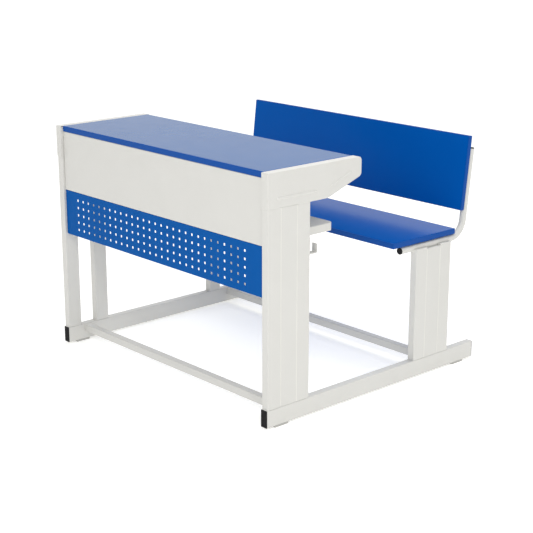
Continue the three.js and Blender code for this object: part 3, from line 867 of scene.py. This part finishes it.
def add_screw(bm, seat, axis, segments=48):
    """A pan-head screw. Its head lies against the seat and its shank runs along the axis."""
    axis = Vector(axis).normalized()
    side = axis.orthogonal().normalized()
    other = axis.cross(side)
    shank = [(0.3 * MM, SCREW_LENGTH), (SCREW_SHANK, SCREW_LENGTH - 2.2 * MM), (SCREW_SHANK, 0)]
    crown = SCREW_HEIGHT * 0.9
    head = [
        (SCREW_HEAD * math.sin(a), -0.4 * MM - crown + crown * (1 - math.cos(a)))
        for a in quarter(14)
    ]
    head = [(radius, max(height, -SCREW_HEIGHT)) for radius, height in reversed(head[1:])]
    profile = shank + [(SCREW_HEAD - 0.1 * MM, 0)] + head
    rings = []
    for count, (radius, height) in enumerate(profile):
        ring = []
        for step in range(segments):
            angle = 2 * math.pi * step / segments
            x, y = radius * math.cos(angle), radius * math.sin(angle)
            sink = recess_depth(x, y) if count > len(shank) else 0
            ring.append(Vector(seat) + side * x + other * y + axis * (height + sink))
        rings.append(ring)
    add_rings(bm, rings, caps=True)


def add_screws():
    """Every screw is placed by its CAD node: the head is at the end that the axis points away from."""
    up, back = Vector((0, 0, 1)), -BEHIND_BACK
    groups = []
    for side, sign in SIDES:
        for end in ("front", "rear"):
            groups.append((f"desktop_screw_{end}_{side}", up))
            groups.append((f"seat_screw_{end}_{side}", up))
            groups.append((f"shelf_screw_{end}_{side}", Vector((sign, 0, 0))))
        for end in ("lower", "upper"):
            groups.append((f"back_screw_{end}_{side}", back))
        groups.append((f"hook_screw_{side}", Vector((0, -1, 0))))
    half_length = (SCREW_LENGTH + SCREW_HEIGHT) / 2
    for node, axis in groups:
        if node.startswith("back_screw"):
            side = node.rsplit("_", 1)[1]
            sign = dict(SIDES)[side]
            up_back = BACK_TAB_HEIGHTS[0] if "lower" in node else BACK_TAB_HEIGHTS[1]
            x = middle(f"tube_plug_front_{side}").x - sign * (TAB_REACH - TAB_SCREW_INSET)
            seat = leaning(x, up_back, BACK_THICKNESS + GAP + TAB_THICKNESS + 0.1 * MM)
        else:
            seat = middle(node) - axis * (half_length - SCREW_HEIGHT)
        bm = bmesh.new()
        add_screw(bm, seat, axis)
        make_piece(f"{node}_finished", bm, [ZINC], [node])


def add_bead(bm, place, length, radius, ripple=2.2 * MM, segments=10):
    """A weld bead with the ripples that the welder leaves. place(share) is its centre and direction."""
    count = max(12, int(length / (ripple / 4)))
    rings = []
    for index in range(count + 1):
        centre, way = place(index / count)
        side = Vector((0, 1, 0)) if abs(way.y) < 0.5 else Vector((1, 0, 0))
        other = way.cross(side)
        along = length * index / count
        from_end = min(along, length - along)
        taper = math.sqrt(min(max(from_end / (1.5 * radius), 0.03), 1))
        swell = 1 + 0.07 * math.sin(2 * math.pi * along / ripple)
        size = radius * taper * swell
        rings.append([
            centre + (side * math.cos(a) + other * math.sin(a)) * size
            for a in (2 * math.pi * step / segments for step in range(segments))
        ])
    add_rings(bm, rings, caps=True)


def add_straight_bead(bm, start, end, radius):
    start, end = Vector(start), Vector(end)
    way = (end - start).normalized()
    add_bead(bm, lambda share: (start.lerp(end, share), way), (end - start).length, radius)


def add_saddle_bead(bm, side, y, first, last, radius):
    """A bead on a leg's end wall that follows the round bench tube between two angles from below it."""
    tube_x, tube_z = bench_tube_axis(side)

    def place(share):
        angle = first + (last - first) * share
        out = Vector((math.sin(angle), 0, -math.cos(angle)))
        way = Vector((math.cos(angle), 0, math.sin(angle)))
        return Vector((tube_x, y, tube_z)) + out * BENCH_TUBE_RADIUS, way

    add_bead(bm, place, BENCH_TUBE_RADIUS * abs(last - first), radius)


def add_welds():
    bead = 1.7 * MM
    inset = 3 * MM
    for side, sign in SIDES:
        bm = bmesh.new()
        rail_low, rail_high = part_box(f"floor_rail_{side}")
        for leg in ("desk_leg", "bench_leg"):
            faces = [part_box(f"{leg}_tube_front_{side}")[0].y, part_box(f"{leg}_tube_rear_{side}")[1].y]
            if sign < 0:
                faces.append(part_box(f"{leg}_tube_front_{side}")[1].y)
                faces.append(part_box(f"{leg}_tube_rear_{side}")[0].y)
            for y in faces:
                start = (rail_low.x + inset, y, rail_high.z)
                add_straight_bead(bm, start, (rail_high.x - inset, y, rail_high.z), bead)
        inner = sign * min(abs(rail_low.x), abs(rail_high.x))
        for end in ("front", "rear"):
            low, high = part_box(f"crossbar_{end}")
            for z in (low.z, high.z):
                add_straight_bead(bm, (inner, low.y + inset, z), (inner, high.y - inset, z), bead)
            for y in (low.y, high.y):
                add_straight_bead(bm, (inner, y, low.z + inset), (inner, y, high.z - inset), bead)
        x, tube_z = bench_tube_axis(side)
        run = TAB_WIDTH / 2 - inset
        for end in ("front", "rear"):
            low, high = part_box(f"bench_leg_tube_{end}_{side}")
            leg_inner = sign * min(abs(low.x), abs(high.x))
            under = tube_z - math.sqrt(BENCH_TUBE_RADIUS ** 2 - (x - leg_inner) ** 2)
            add_straight_bead(
                bm, (leg_inner, low.y + inset, under), (leg_inner, high.y - inset, under), bead)
            add_saddle_bead(bm, side, low.y if end == "front" else high.y, 0, sign * 1.2, bead)
            y = middle(f"seat_screw_{end}_{side}").y
            edge = x - sign * BENCH_TUBE_RADIUS * 0.6
            z = tube_z + BENCH_TUBE_RADIUS * 0.8
            add_straight_bead(bm, (edge, y - run, z), (edge, y + run, z), bead)
        for up in BACK_TAB_HEIGHTS:
            behind = BACK_THICKNESS + GAP + TAB_THICKNESS + 1 * MM
            edge = x - sign * (BENCH_TUBE_RADIUS - 1 * MM)
            ends = [leaning(edge, up + way * run, behind) for way in (-1, 1)]
            add_straight_bead(bm, *ends, bead)
        make_piece(f"weld_beads_{side}", bm, [WHITE])


# ---------- studio ----------
CAMERA_PLACE = (3.1162, -2.8052, 1.5014)
CAMERA_YAW = math.radians(47.926)
CAMERA_PITCH = math.radians(16.04)
CAMERA_LENS = 87.94  # millimetres, as is the sensor
CAMERA_SENSOR = 36


def add_camera():
    camera = bpy.data.cameras.new("camera")
    camera.sensor_width = CAMERA_SENSOR
    camera.lens = CAMERA_LENS
    holder = bpy.data.objects.new("camera", camera)
    holder.location = CAMERA_PLACE
    holder.rotation_euler = (math.pi / 2 - CAMERA_PITCH, 0, CAMERA_YAW)
    bpy.context.scene.collection.objects.link(holder)
    bpy.context.scene.camera = holder


FLOOR_RADIUS = 30
FLOOR_GLOW = 0.34


def add_floor():
    """A plain pale floor. It glows a little, so that it meets the white world without an edge."""
    bm = bmesh.new()
    bmesh.ops.create_circle(bm, cap_ends=True, segments=96, radius=FLOOR_RADIUS)
    mesh = bpy.data.meshes.new("studio_floor")
    bm.to_mesh(mesh)
    bm.free()
    material, tree, shader = new_material("studio_floor")
    tone = blend_colours(tree, noise(tree, 2, 2), (0.93, 0.93, 0.91), (0.95, 0.95, 0.93))
    tree.links.new(tone, shader.inputs["Base Color"])
    shader.inputs["Roughness"].default_value = 0.9
    shader.inputs["Specular IOR Level"].default_value = 0.0
    shader.inputs["Emission Color"].default_value = (1, 1, 1, 1)
    shader.inputs["Emission Strength"].default_value = FLOOR_GLOW
    mesh.materials.append(material)
    floor = bpy.data.objects.new("studio_floor", mesh)
    bpy.context.scene.collection.objects.link(floor)


def add_area_light(name, place, target, size, power):
    light = bpy.data.lights.new(name, "AREA")
    light.shape = "DISK"
    light.size = size
    light.energy = power
    holder = bpy.data.objects.new(name, light)
    holder.location = place
    aim = Vector(target) - Vector(place)
    holder.rotation_euler = aim.to_track_quat("-Z", "Y").to_euler()
    bpy.context.scene.collection.objects.link(holder)


def add_sun(name, direction, softness, strength):
    """A sun that shines from the direction. Its softness is an angle in degrees."""
    light = bpy.data.lights.new(name, "SUN")
    light.angle = math.radians(softness)
    light.energy = strength
    holder = bpy.data.objects.new(name, light)
    holder.rotation_euler = (-Vector(direction)).to_track_quat("-Z", "Y").to_euler()
    bpy.context.scene.collection.objects.link(holder)


WORLD_LEVEL = 0.53
WORLD_ABOVE = 0.25  # added straight up
WORLD_BEHIND = 0.5  # added low behind the set, where the desktop reflects it
BEHIND = (-0.7, 0.68, 0.22)
BEHIND_START, BEHIND_FULL = 0.6, 0.95  # cosines of the angle to that direction
BACK_SUN = {"direction": (0.15, 0.5, 0.87), "softness": 30, "strength": 0.25}
AREA_LIGHTS = (
    ("key_light", (3.0, -2.2, 3.2), (0, 0, 0.4), 1.5, 38),
    ("front_light", (1.6, -3.0, 2.0), (0.3, 0, 0.5), 1.8, 11),
    ("top_light", (0.3, 0.2, 3.0), (0.1, 0.1, 0.3), 1.5, 21),
)  # name, place, target, diameter and power


def add_lights():
    """A soft white room that is brighter above and behind the set, a soft sun and three disks."""
    world = bpy.data.worlds.new("studio")
    world.use_nodes = True
    tree = world.node_tree
    backdrop = tree.nodes["Background"]
    backdrop.inputs["Color"].default_value = (1, 1, 1, 1)
    way = tree.nodes.new("ShaderNodeTexCoord").outputs["Generated"]
    total = tree.nodes.new("ShaderNodeMath")
    total.operation = "ADD"
    for socket, aim, low, high, start, end in (
        (total.inputs[0], (0, 0, 1), WORLD_LEVEL, WORLD_LEVEL + WORLD_ABOVE, 0.0, 1.0),
        (total.inputs[1], BEHIND, 0.0, WORLD_BEHIND, BEHIND_START, BEHIND_FULL),
    ):
        facing = tree.nodes.new("ShaderNodeVectorMath")
        facing.operation = "DOT_PRODUCT"
        facing.inputs[1].default_value = Vector(aim).normalized()
        tree.links.new(way, facing.inputs[0])
        tree.links.new(spread(tree, facing.outputs["Value"], low, high, start, end), socket)
    tree.links.new(total.outputs["Value"], backdrop.inputs["Strength"])
    bpy.context.scene.world = world
    bpy.context.scene.view_settings.view_transform = "Standard"
    add_sun("back_light", **BACK_SUN)
    for light in AREA_LIGHTS:
        add_area_light(*light)


add_camera()
add_floor()
add_lights()
add_floor_rails()
add_rail_caps()
add_glide_pads()
add_leg_tubes()
add_leg_covers()
add_bench_leg_lids()
add_seam_fillers()
add_crossbars()
add_side_brackets()
add_boards()
add_cleats()
add_upper_panel()
add_perforated_panel()
add_shelf()
add_bag_hooks()
add_bench_tubes()
add_tube_plugs()
add_screws()
add_welds()
